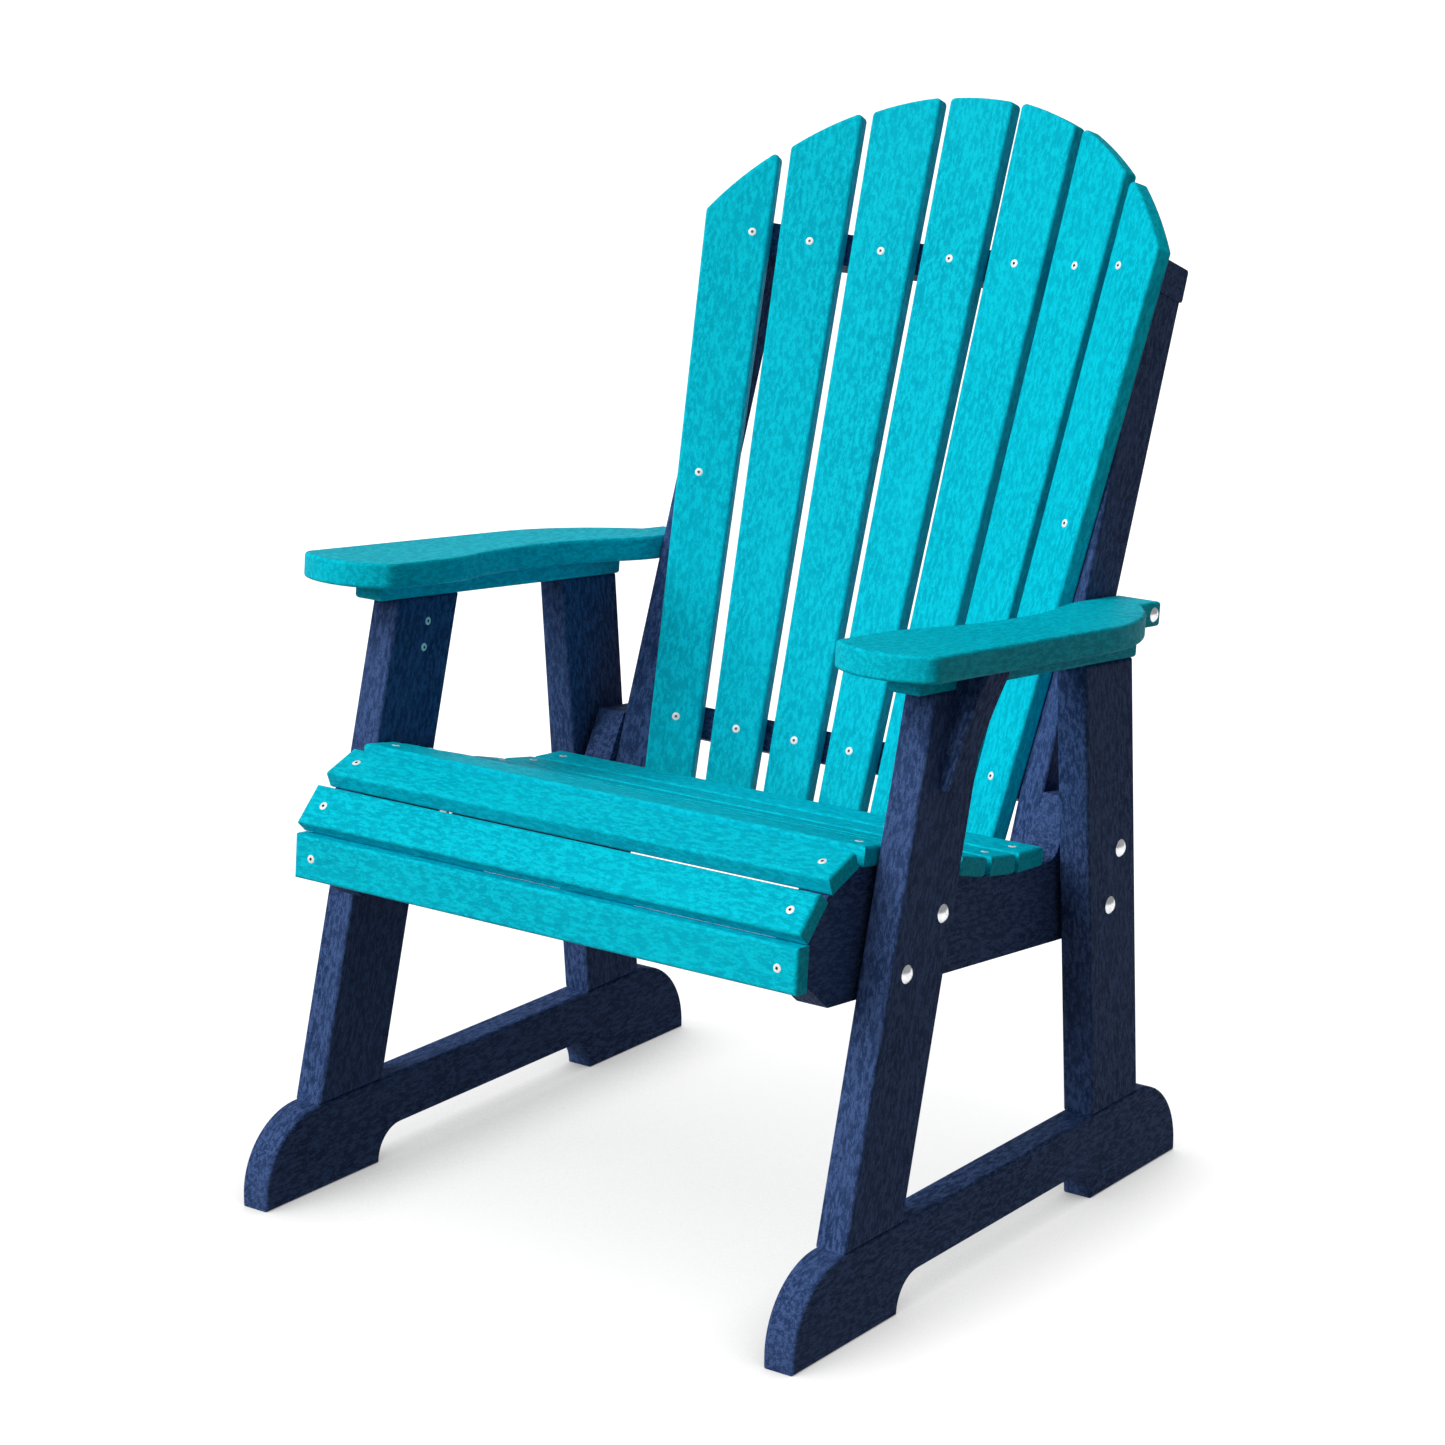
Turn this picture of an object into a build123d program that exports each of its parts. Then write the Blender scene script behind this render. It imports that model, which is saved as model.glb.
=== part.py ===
from build123d import *
import math
import os

# Adirondack chair built from plastic boards, bolted and screwed together.
# +Z is up, the chair faces -Y and +X is on the sitter's left. The origin is on the floor, in the
# middle of the chair's width and depth. All sizes are in millimetres and degrees.
# Side outlines are laid out with Y counted from the front ends of the skids, and every part is
# moved forward by CENTRE_Y when it is written.

CENTRE_Y = 463.1  # half of the chair's depth

# ---------------------------------------------------------------- boards and their lanes
BEAM = 38.1  # thickness of the dark frame boards
SLAT = 22.2  # thickness of the light slats and arm supports
ARMREST = 28.5  # thickness of an armrest
EASE = 4.0  # rounding along the edges of a board

LEG_OUT = 378.2  # outer face of the legs and skids, from the middle of the chair
LEG_IN = LEG_OUT - BEAM
SPACER = 7.4  # gap between a leg and the seat rail beside it
RAIL_OUT = LEG_IN - SPACER
RAIL_IN = RAIL_OUT - BEAM
UPRIGHT_OUT = RAIL_IN
UPRIGHT_IN = UPRIGHT_OUT - BEAM
LEG_MID = (LEG_IN + LEG_OUT) / 2
RAIL_MID = (RAIL_IN + RAIL_OUT) / 2
UPRIGHT_MID = (UPRIGHT_IN + UPRIGHT_OUT) / 2

# ---------------------------------------------------------------- skids and legs
SKID_LENGTH = 771.9
SKID_HEIGHT = 100.3
SKID_END_RADIUS = 88.9
FOOT_LENGTH = 188.5
ARCH_HEIGHT = 38.5  # also the radius of the arch's corners

FRONT_LEG = {"foot": 143.6, "lean": 15.35, "width": 103.3}
REAR_LEG = {"foot": 629.5, "lean": -4.45, "width": 100.7}

# ---------------------------------------------------------------- arms
ARM_SLOPE = 5.74  # the arms fall towards the back
SUPPORT_START = (212.8, 660.2)  # lower front corner of the arm support
SUPPORT_LENGTH = 433.9
ARM_OUT = 421.3
TAIL_OUT = 350.5
ARM_NOSE = (361.0, -65.2)  # foremost point of the armrest, across and along the arm
ARM_NOSE_RADIUS = 86.7
ARM_BEND = 298.6  # where the outer edge starts to curve in
TAIL_START = 487.5
TAIL_END = 530.8
ARM_SCOOP = [(294.6, 67.0), (306.0, 130.0), (320.5, 262.0), (311.0, 359.0), (294.6, 444.0)]
ARM_OUTER_CORNER = 20.0
ARM_INNER_CORNER = 18.0
ARM_EASE = 4.0

# ---------------------------------------------------------------- seat
SEAT_HALF = 338.0
SEAT_BOARD_WIDTH = 49.9
# middle of the upper face (back from the skid fronts, above the floor) and tilt
SEAT_BOARDS = [
    (58.5, 403.2, 84.8),
    (80.8, 458.7, 45.0),
    (136.4, 495.6, 20.0),
    (202.6, 501.0, -9.8),
    (263.5, 484.0, -19.5),
    (324.7, 462.9, -18.3),
    (386.7, 444.0, -15.4),
    (444.7, 430.9, -10.1),
    (500.7, 423.4, -4.4),
]
RAIL_SLOPE = 5.86
RAIL_CORNER = (120.5, 347.7)  # lower end of the chamfer under the rail's front
RAIL_CHAMFER = -40.9  # slope of that chamfer
LUG_CORNER = (594.4, 460.0)  # front corner of the raised rear end of the rail
LUG_RISE = 61.4
LUG_FILLET = 20.0

# ---------------------------------------------------------------- back
RECLINE = 21.0
BACK_FOOT = 415.6  # where the back's reference line meets the floor
UPRIGHT_REAR = 73.8
BOTTOM_ROW = 501.0  # screw rows, measured up the back's slope
TOP_ROW = 1090.4
MIDDLE_ROW = 794.7
MIDDLE_ROW_OUT = 19.0  # the middle screws stand this far out from the slat's screw line
BACK_RADIUS_LOW = 565.5  # curve of the slat faces at the bottom row, seen from above
BACK_RADIUS_TOP = 707.5
BACK_DEPTH_LOW = 51.9  # how far the middle slat's face lies behind the reference line
BACK_DEPTH_TOP = 37.5
SLAT_X_LOW = [0.0, 75.4, 149.8, 221.5]  # screw line of each slat, counted out from the middle
SLAT_X_TOP = [0.0, 92.9, 183.9, 253.3]
SLAT_TURN = [0.0, 7.5, 15.1, 22.0]
SLAT_BOTTOM = 420.0
SLAT_BOTTOM_HALF = 29.5
SLAT_TAPER = 0.0161  # growth of a slat's half-width up the back
OUTER_SHIFT = -1.8  # the outermost slats lean out from their screw line
OUTER_LEAN = 0.0325
CROWN_CENTRE = 916.0
CROWN_RADIUS = 368.0
CROWN_CORNER = 6.0
TOP_RAIL_BOW = 100.0  # depth of the rear edge at the middle of the top rail
LOW_RAIL_BOW = 112.0
TOP_RAIL_PROUD = 2.0  # the top rail's ends stand past the uprights
RAIL_BLANK_FRONT = -60.0  # front edge of a rail or upright before the slats' planes trim it
UPRIGHT_BLANK_FOOT = 250.0  # lower end of an upright before it is cut level with the seat rail
ROOM_LOW = (-500, -600, 200)  # corners of the space in front of the back, in the back's own plane
ROOM_HIGH = (500, 200, 1500)
LONG_EDGE = 600.0  # an upright's edges longer than this are rounded

# ---------------------------------------------------------------- fasteners
SCREW_HEAD = 4.7  # radius
SCREW_SHANK = 2.4
SCREW_PROUD = 0.6
SCREW_SINK = 1.8
SCREW_ROUND = 0.5
SCREW_LENGTH = 48.0
LEG_BOLT = {"head": 10.0, "dome": 4.6, "shank": 4.75, "nut": 14.3, "nut_height": 8.3}
TAIL_BOLT = {"head": 8.3, "dome": 3.9, "shank": 3.95, "nut": 12.7, "nut_height": 6.8}
WASHER = 2.0
WASHER_RIM = 2.0  # a washer's edge past the bolt head
BOLT_PLAY = 0.4  # gap round a bolt's shank
BOLT_SPARE = 3.0  # thread showing past a nut
FRONT_BOLTS = [(262.5, 420.3), (196.7, 372.1)]
REAR_BOLTS = [(624.4, 403.2), (605.0, 341.9)]
TAIL_BOLT_ALONG = 518.2
BRACKET_SCREWS = [514.0, 544.0]  # up the front leg from the skid
BRACKET_SCREW_OFFSET = 4.3
BRACKET_BOTTOM = 466.5
BRACKET_TOP = 592.0
BRACKET_DEPTHS = (11.3, 20.0, 36.5)  # at the bottom, half way and the top
BRACKET_OFFSET = 3.0
BRACKET_SCREW_LENGTH = BEAM + 12.0
SUPPORT_SCREWS = [57.0, 113.0, 354.0, 404.0]  # along the arm support, into the legs
SUPPORT_SCREW_LENGTH = 80.0
ARMREST_SCREWS = [170.0, 235.0, 300.0]  # along the arm support, up into the armrest
ARMREST_SCREW_LENGTH = 43.0
TOP_RAIL_SCREWS = [46.0, 62.0]  # behind the back's reference line
TOP_RAIL_SCREW_LENGTH = 85.0
LOW_RAIL_SCREWS = [32.0, 62.0]
LOW_RAIL_SCREW_DROP = 9.0
LOW_RAIL_SCREW_LENGTH = BEAM + 40.0
SKID_SCREWS = [122.0, 165.0, 612.0, 650.0]  # back from the front ends of the skids
SKID_BORE = 9.0
SKID_BORE_DEPTH = 50.0
SKID_LAG = {"head": 7.5, "head_height": 6.0, "shank": 4.0, "length": 100.0}

SIDES = (("left", 1), ("right", -1))


# ---------------------------------------------------------------- helpers
def heading(degrees):
    """Unit vector in a Y-Z outline, 0 pointing to the rear and 90 pointing up."""
    angle = math.radians(degrees)
    return (math.cos(angle), math.sin(angle))


def shifted(point, direction, distance):
    return (point[0] + direction[0] * distance, point[1] + direction[1] * distance)


def meet(p, u, q, v):
    """Point where the line through p along u crosses the line through q along v."""
    cross = u[0] * v[1] - u[1] * v[0]
    distance = ((q[0] - p[0]) * v[1] - (q[1] - p[1]) * v[0]) / cross
    return shifted(p, u, distance)


def plate(plane, edges, thickness):
    """Flat board: an outline drawn on a plane, thickened along the plane's normal."""
    face = make_face(Curve() + edges)
    return extrude(plane * face, amount=thickness)


def polygon(points):
    return [Polyline(*points, close=True)]


def ease(board, radius=EASE):
    """Round the edges that run round the two broad faces of a board."""
    broad = board.faces().sort_by(SortBy.AREA)[-2:]
    return fillet(broad.edges(), radius)


def block(plane, low, high):
    """Box between two corners given in a plane's own coordinates."""
    size = [b - a for a, b in zip(low, high)]
    middle = [(a + b) / 2 for a, b in zip(low, high)]
    return plane * Pos(*middle) * Box(*size)


def peg(radius, low, high):
    corner = (Align.CENTER, Align.CENTER, Align.MIN)
    return Pos(0, 0, low) * Cylinder(radius, high - low, align=corner)


def on_side(shape, sign):
    """The shape as drawn for the sitter's left, or its mirror image on the right."""
    if sign > 0:
        return shape
    return mirror(shape, about=Plane.YZ)


def boxes_meet(a, b):
    return all(
        getattr(a.min, axis) < getattr(b.max, axis) and getattr(b.min, axis) < getattr(a.max, axis)
        for axis in ("X", "Y", "Z")
    )


def drilled(board, fasteners):
    """The board with a snug hole for every fastener that reaches into it."""
    box = board.bounding_box()
    for fastener in fasteners:
        if boxes_meet(box, fastener.bounding_box()):
            board -= fastener
    return board


# ---------------------------------------------------------------- reference planes
ARM_PLANE = Plane(
    origin=(0, *SUPPORT_START),
    x_dir=(1, 0, 0),
    z_dir=(0, math.sin(math.radians(ARM_SLOPE)), math.cos(math.radians(ARM_SLOPE))),
)
FRONT_LEG_PLANE = Plane(
    origin=(0, FRONT_LEG["foot"], SKID_HEIGHT),
    x_dir=(1, 0, 0),
    z_dir=(0, -math.cos(math.radians(FRONT_LEG["lean"])), math.sin(math.radians(FRONT_LEG["lean"]))),
)
UP_BACK = Vector(0, math.sin(math.radians(RECLINE)), math.cos(math.radians(RECLINE)))
BEHIND = Vector(0, math.cos(math.radians(RECLINE)), -math.sin(math.radians(RECLINE)))


def back_point(x, up, behind):
    """Point given across the chair, up the back's slope and behind its reference line."""
    return Vector(x, BACK_FOOT, 0) + UP_BACK * up + BEHIND * behind


def back_level(up):
    """Plane square to the back's slope, with X across and Y towards the rear."""
    return Plane(origin=back_point(0, up, 0), x_dir=(1, 0, 0), z_dir=UP_BACK)


def arm_line():
    """Underside of the arm supports, in a side outline."""
    return SUPPORT_START, heading(-ARM_SLOPE)


def rail_bottom_line():
    return RAIL_CORNER, heading(-RAIL_SLOPE)


def upright_rear_line():
    foot = back_point(0, 0, UPRIGHT_REAR)
    return (foot.Y, foot.Z), heading(90 - RECLINE)


# ---------------------------------------------------------------- skids and legs
def skid():
    end = SKID_LENGTH
    rise = SKID_HEIGHT - SKID_END_RADIUS
    arch_start = FOOT_LENGTH + ARCH_HEIGHT
    arch_end = end - FOOT_LENGTH - ARCH_HEIGHT
    edges = [
        Line((0, 0), (0, rise)),
        TangentArc((0, rise), (SKID_END_RADIUS, SKID_HEIGHT), tangent=(0, 1)),
        Line((SKID_END_RADIUS, SKID_HEIGHT), (end - SKID_END_RADIUS, SKID_HEIGHT)),
        TangentArc((end - SKID_END_RADIUS, SKID_HEIGHT), (end, rise), tangent=(1, 0)),
        Line((end, rise), (end, 0)),
        Line((end, 0), (end - FOOT_LENGTH, 0)),
        TangentArc((end - FOOT_LENGTH, 0), (arch_end, ARCH_HEIGHT), tangent=(0, 1)),
        Line((arch_end, ARCH_HEIGHT), (arch_start, ARCH_HEIGHT)),
        TangentArc((arch_start, ARCH_HEIGHT), (FOOT_LENGTH, 0), tangent=(-1, 0)),
        Line((FOOT_LENGTH, 0), (0, 0)),
    ]
    return ease(plate(Plane.YZ.offset(LEG_IN), edges, BEAM))


def leg(measures):
    """Leaning board, cut level on the skid and along the arm line at the top."""
    run = heading(90 - measures["lean"])
    half = measures["width"] / 2
    square = (run[1], -run[0])
    foot = (measures["foot"], SKID_HEIGHT)
    corners = []
    for offset, lines in ((half, (0, 1)), (-half, (1, 0))):
        start = shifted(foot, square, offset)
        for at_top in lines:
            line = arm_line() if at_top else (foot, (1.0, 0.0))
            corners.append(meet(start, run, *line))
    return ease(plate(Plane.YZ.offset(LEG_IN), polygon(corners), BEAM))


# ---------------------------------------------------------------- arms
def arm_support():
    return ease(block(ARM_PLANE, (LEG_IN, 0, 0), (LEG_OUT, SUPPORT_LENGTH, SLAT)))


def armrest():
    nose_x, nose_y = ARM_NOSE
    centre_y = nose_y + ARM_NOSE_RADIUS
    inner = (UPRIGHT_OUT, centre_y - math.sqrt(ARM_NOSE_RADIUS**2 - (nose_x - UPRIGHT_OUT) ** 2))
    outer = (ARM_OUT, centre_y - math.sqrt(ARM_NOSE_RADIUS**2 - (ARM_OUT - nose_x) ** 2))
    edges = [
        ThreePointArc(inner, ARM_NOSE, outer),
        Line(outer, (ARM_OUT, ARM_BEND)),
        TangentArc((ARM_OUT, ARM_BEND), (TAIL_OUT, TAIL_START), tangent=(0, 1)),
        Line((TAIL_OUT, TAIL_START), (TAIL_OUT, TAIL_END)),
        Line((TAIL_OUT, TAIL_END), (UPRIGHT_OUT, TAIL_END)),
        Line((UPRIGHT_OUT, TAIL_END), ARM_SCOOP[-1]),
        Spline(*ARM_SCOOP, tangents=[(0, 1), (0, 1)]),
        Line(ARM_SCOOP[0], inner),
    ]
    face = make_face(Curve() + edges)
    corners = face.vertices().sort_by(Axis.Y)
    face = fillet(corners[0], ARM_OUTER_CORNER)
    inner_corner = face.vertices().sort_by_distance((*inner, 0))[0]
    face = fillet(inner_corner, ARM_INNER_CORNER)
    board = extrude(ARM_PLANE.offset(SLAT) * face, amount=ARMREST)
    return ease(board, ARM_EASE)


def arm_bracket():
    """Flared block on the outer face of the front leg, under the armrest's overhang."""
    low, middle, high = [LEG_OUT + depth for depth in BRACKET_DEPTHS]
    half_way = (BRACKET_BOTTOM + BRACKET_TOP) / 2
    above = BRACKET_TOP + BEAM
    edges = [
        Line((LEG_OUT, BRACKET_BOTTOM), (low, BRACKET_BOTTOM)),
        ThreePointArc((low, BRACKET_BOTTOM), (middle, half_way), (high, BRACKET_TOP)),
        Line((high, BRACKET_TOP), (high, above)),
        Line((high, above), (LEG_OUT, above)),
        Line((LEG_OUT, above), (LEG_OUT, BRACKET_BOTTOM)),
    ]
    plane = FRONT_LEG_PLANE.offset(-BRACKET_OFFSET - BEAM / 2)
    bracket = plate(plane, edges, BEAM)
    return split(bracket, bisect_by=ARM_PLANE.offset(SLAT), keep=Keep.BOTTOM)


# ---------------------------------------------------------------- seat
def seat_plane(index, x=0.0):
    """Plane on a seat board's upper face, X across the chair and Z out of the board."""
    y, z, tilt = SEAT_BOARDS[index]
    angle = math.radians(tilt)
    return Plane(origin=(x, y, z), x_dir=(1, 0, 0), z_dir=(0, -math.sin(angle), math.cos(angle)))


def seat_board(index):
    half = SEAT_BOARD_WIDTH / 2
    return ease(block(seat_plane(index), (-SEAT_HALF, -half, -SLAT), (SEAT_HALF, half, 0)))


def seat_underside(index):
    """Line along the back of a seat board, in a side outline."""
    y, z, tilt = SEAT_BOARDS[index]
    return shifted((y, z), heading(tilt - 90), SLAT), heading(tilt)


def seat_rail():
    """Side beam: a flat for every seat board, and a raised end beside the upright."""
    undersides = [seat_underside(index) for index in range(len(SEAT_BOARDS))]
    lug_front = (LUG_CORNER, heading(LUG_RISE))
    chamfer = (RAIL_CORNER, heading(RAIL_CHAMFER))
    bend = meet(*undersides[-1], *lug_front)
    top = [meet(*undersides[i], *undersides[i + 1]) for i in range(len(undersides) - 1)]
    corners = [
        RAIL_CORNER,
        meet(*rail_bottom_line(), *upright_rear_line()),
        meet(LUG_CORNER, heading(-RAIL_SLOPE), *upright_rear_line()),
        LUG_CORNER,
        bend,
        *reversed(top),
        meet(*undersides[0], *chamfer),
    ]
    rail = plate(Plane.YZ.offset(RAIL_IN), polygon(corners), BEAM)
    bend_edge = rail.edges().filter_by(Axis.X).sort_by_distance((RAIL_MID, *bend))[0]
    return fillet(bend_edge, LUG_FILLET)


# ---------------------------------------------------------------- back
def slat_face(number):
    """Plane on a back slat's front face: origin on the lower screw, Y up along the screw line.

    Slats are counted from 1 on the sitter's right to 7 on the left; 4 is in the middle.
    """
    step = abs(number - 4)
    sign = 1 if number > 4 else -1
    x_low = SLAT_X_LOW[step]
    x_top = SLAT_X_TOP[step]
    behind_low = BACK_DEPTH_LOW - BACK_RADIUS_LOW + math.sqrt(BACK_RADIUS_LOW**2 - x_low**2)
    behind_top = BACK_DEPTH_TOP - BACK_RADIUS_TOP + math.sqrt(BACK_RADIUS_TOP**2 - x_top**2)
    low = back_point(sign * x_low, BOTTOM_ROW, behind_low)
    top = back_point(sign * x_top, TOP_ROW, behind_top)
    up = (top - low).normalized()
    turn = math.radians(sign * SLAT_TURN[step])
    across = Vector(math.cos(turn), 0, 0) - BEHIND * math.sin(turn)
    across = (across - up * across.dot(up)).normalized()
    return Plane(origin=low, x_dir=across, z_dir=across.cross(up))


def slat_edge(number, edge, up):
    """Sideways place of a slat's edge (-1 or 1), a distance up the back's slope."""
    shift = 0.0
    if number in (1, 7):
        shift = OUTER_SHIFT + OUTER_LEAN * (up - SLAT_BOTTOM)
    sign = 1 if number > 4 else -1
    return sign * shift + edge * (SLAT_BOTTOM_HALF + SLAT_TAPER * (up - SLAT_BOTTOM))


def crown_point(number, edge):
    """Where a slat's edge (-1 or 1) or middle (0) reaches the crown's arc, on the slat's face."""
    face = slat_face(number)
    climb = face.y_dir.dot(UP_BACK)
    up = CROWN_CENTRE + CROWN_RADIUS
    for _ in range(30):
        along = (up - BOTTOM_ROW) / climb
        sideways = slat_edge(number, edge, up)
        x = face.from_local_coords((sideways, along, 0)).X
        up = CROWN_CENTRE + math.sqrt(CROWN_RADIUS**2 - x**2)
    return sideways, along


def back_slat(number):
    face = slat_face(number)
    bottom = (SLAT_BOTTOM - BOTTOM_ROW) / face.y_dir.dot(UP_BACK)
    low = [(slat_edge(number, edge, SLAT_BOTTOM), bottom) for edge in (-1, 1)]
    left, middle, right = [crown_point(number, edge) for edge in (-1, 0, 1)]
    edges = [
        Line(low[0], low[1]),
        Line(low[1], right),
        ThreePointArc(right, middle, left),
        Line(left, low[0]),
    ]
    outline = make_face(Curve() + edges)
    outline = fillet(outline.vertices().sort_by(Axis.Y)[-2:], CROWN_CORNER)
    return ease(extrude(face * outline, amount=-SLAT))


def sitter_side():
    """Everything in front of the back planes of all seven slats."""
    room = block(back_level(0), ROOM_LOW, ROOM_HIGH)
    for number in range(1, 8):
        room = split(room, bisect_by=slat_face(number).offset(-SLAT), keep=Keep.TOP)
    return room


def upright(room):
    """Rear post: bevelled in front to carry the outer slat, cut level with the rail below."""
    low = (UPRIGHT_IN, RAIL_BLANK_FRONT, UPRIGHT_BLANK_FOOT)
    high = (UPRIGHT_OUT, UPRIGHT_REAR, TOP_ROW - BEAM / 2)
    post = block(back_level(0), low, high)
    post -= room
    corner, along = rail_bottom_line()
    floor_cut = Plane(origin=(0, *corner), x_dir=(1, 0, 0), z_dir=(0, -along[1], along[0]))
    post = split(post, bisect_by=floor_cut, keep=Keep.TOP)
    return fillet([edge for edge in post.edges() if edge.length > LONG_EDGE], EASE)


def bowed_rail(middle_up, half_length, bow, room):
    """Cross rail behind the slats, with a bowed rear edge."""
    edges = [
        Line((-half_length, RAIL_BLANK_FRONT), (half_length, RAIL_BLANK_FRONT)),
        Line((half_length, RAIL_BLANK_FRONT), (half_length, UPRIGHT_REAR)),
        ThreePointArc((half_length, UPRIGHT_REAR), (0, bow), (-half_length, UPRIGHT_REAR)),
        Line((-half_length, UPRIGHT_REAR), (-half_length, RAIL_BLANK_FRONT)),
    ]
    rail = plate(back_level(middle_up - BEAM / 2), edges, BEAM)
    rail = fillet(rail.edges().filter_by(GeomType.CIRCLE), EASE)
    return rail - room


# ---------------------------------------------------------------- fasteners
def screw(length, proud=SCREW_PROUD):
    """Pan head on top of the XY plane by 'proud', shank pointing down."""
    head = peg(SCREW_HEAD, -SCREW_SINK, proud)
    head = fillet(head.edges().sort_by(Axis.Z)[-1], SCREW_ROUND)
    return head + peg(SCREW_SHANK, -length, -SCREW_SINK)


def carriage_bolt(kind, length):
    """Domed head on the XY plane, shank pointing down."""
    ball = (kind["head"] ** 2 + kind["dome"] ** 2) / (2 * kind["dome"])
    cap = split(Pos(0, 0, kind["dome"] - ball) * Sphere(ball), bisect_by=Plane.XY, keep=Keep.TOP)
    return cap + peg(kind["shank"], -length, 0)


def outward(x, y, z):
    """Plane facing the sitter's left at a point."""
    return Plane(origin=(x, y, z), x_dir=(0, 1, 0), z_dir=(1, 0, 0))


def ring(radius, hole, thickness):
    return peg(radius, 0, thickness) - peg(hole, 0, thickness)


def hex_nut(kind):
    blank = RegularPolygon(kind["nut"] / 2, 6, major_radius=False)
    return extrude(blank, amount=kind["nut_height"]) - peg(kind["shank"], 0, kind["nut_height"])


def both_sides(shapes):
    return [on_side(shape, sign) for _, sign in SIDES for shape in shapes]


def bolt_stack(kind, points, start, stop):
    """Bolts from the outer face at start to the inner face at stop, with washers and nuts."""
    length = start - stop + WASHER + kind["nut_height"] + BOLT_SPARE
    nut_face = stop - WASHER - kind["nut_height"]
    bolts = [outward(start, *point) * carriage_bolt(kind, length) for point in points]
    washer = ring(kind["head"] + WASHER_RIM, kind["shank"] + BOLT_PLAY, WASHER)
    washers = [outward(stop - WASHER, *point) * washer for point in points]
    nuts = [outward(nut_face, *point) * hex_nut(kind) for point in points]
    return both_sides(bolts), both_sides(washers), both_sides(nuts)


def back_slat_screws():
    screws = []
    for number in range(1, 8):
        face = slat_face(number)
        climb = face.y_dir.dot(UP_BACK)
        places = [(0, BOTTOM_ROW), (0, TOP_ROW)]
        if number in (1, 7):
            places.append((math.copysign(MIDDLE_ROW_OUT, number - 4), MIDDLE_ROW))
        for sideways, row in places:
            along = (row - BOTTOM_ROW) / climb
            screws.append(face * Pos(sideways, along, 0) * screw(SCREW_LENGTH))
    return screws


def seat_screws():
    screws = []
    for index in range(len(SEAT_BOARDS)):
        for _, sign in SIDES:
            screws.append(seat_plane(index, sign * RAIL_MID) * screw(SCREW_LENGTH))
    return screws


def bracket_screws():
    """Driven from the inner face of the front leg into the bracket."""
    screws = []
    for up in BRACKET_SCREWS:
        point = FRONT_LEG_PLANE.from_local_coords((LEG_IN, up, -BRACKET_SCREW_OFFSET))
        inward = Plane(origin=point, x_dir=(0, 1, 0), z_dir=(-1, 0, 0))
        screws.append(inward * screw(BRACKET_SCREW_LENGTH))
    return both_sides(screws)


def arm_support_screws():
    """Down through the support into the tops of the legs, hidden under the armrest."""
    top = ARM_PLANE.offset(SLAT)
    driven = screw(SUPPORT_SCREW_LENGTH, proud=0)
    return both_sides([top * Pos(LEG_MID, along, 0) * driven for along in SUPPORT_SCREWS])


def armrest_screws():
    """Up through the support into the armrest."""
    under = Plane(origin=ARM_PLANE.origin, x_dir=(1, 0, 0), z_dir=-ARM_PLANE.z_dir)
    driven = screw(ARMREST_SCREW_LENGTH)
    return both_sides([under * Pos(LEG_MID, -along, 0) * driven for along in ARMREST_SCREWS])


def top_rail_screws():
    """Down through the ends of the top rail into the uprights."""
    top = back_level(TOP_ROW + BEAM / 2)
    driven = screw(TOP_RAIL_SCREW_LENGTH, proud=0)
    return both_sides([top * Pos(UPRIGHT_MID, behind, 0) * driven for behind in TOP_RAIL_SCREWS])


def low_rail_screws():
    """Through the uprights into the ends of the lower rail, covered by the seat rail's lug."""
    screws = []
    for behind in LOW_RAIL_SCREWS:
        point = back_point(UPRIGHT_OUT, BOTTOM_ROW - LOW_RAIL_SCREW_DROP, behind)
        screws.append(outward(*point) * screw(LOW_RAIL_SCREW_LENGTH, proud=0))
    return both_sides(screws)


def skid_screws():
    """Long screws from bores in the feet up into the ends of the legs."""
    lag = peg(SKID_LAG["head"], -SKID_LAG["head_height"], 0) + peg(SKID_LAG["shank"], 0, SKID_LAG["length"])
    return both_sides([Pos(LEG_MID, y, SKID_BORE_DEPTH) * lag for y in SKID_SCREWS])


def skid_bores():
    bore = peg(SKID_BORE, 0, SKID_BORE_DEPTH)
    return both_sides([Pos(LEG_MID, y, 0) * bore for y in SKID_SCREWS])


def spacers():
    points = FRONT_BOLTS + REAR_BOLTS
    tube = ring(LEG_BOLT["head"], LEG_BOLT["shank"] + BOLT_PLAY, SPACER)
    return both_sides([outward(RAIL_OUT, *point) * tube for point in points])


def tail_bolt_point():
    point = ARM_PLANE.from_local_coords((0, TAIL_BOLT_ALONG, SLAT + ARMREST / 2))
    return point.Y, point.Z


# ---------------------------------------------------------------- assembly
def make_fasteners():
    groups = {}
    groups["back_slat_screws"] = back_slat_screws()
    groups["seat_screws"] = seat_screws()
    groups["bracket_screws"] = bracket_screws()
    groups["arm_support_screws"] = arm_support_screws()
    groups["armrest_screws"] = armrest_screws()
    groups["top_rail_screws"] = top_rail_screws()
    groups["lower_rail_screws"] = low_rail_screws()
    groups["skid_screws"] = skid_screws()
    front = bolt_stack(LEG_BOLT, FRONT_BOLTS, LEG_OUT, RAIL_IN)
    rear = bolt_stack(LEG_BOLT, REAR_BOLTS, LEG_OUT, UPRIGHT_IN)
    tail = bolt_stack(TAIL_BOLT, [tail_bolt_point()], TAIL_OUT, UPRIGHT_IN)
    groups["front_leg_bolts"] = front[0]
    groups["rear_leg_bolts"] = rear[0]
    groups["leg_bolt_washers"] = front[1] + rear[1]
    groups["leg_bolt_nuts"] = front[2] + rear[2]
    groups["leg_bolt_spacers"] = spacers()
    groups["arm_tail_bolts"] = tail[0]
    groups["arm_tail_washers"] = tail[1]
    groups["arm_tail_nuts"] = tail[2]
    return groups


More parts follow.
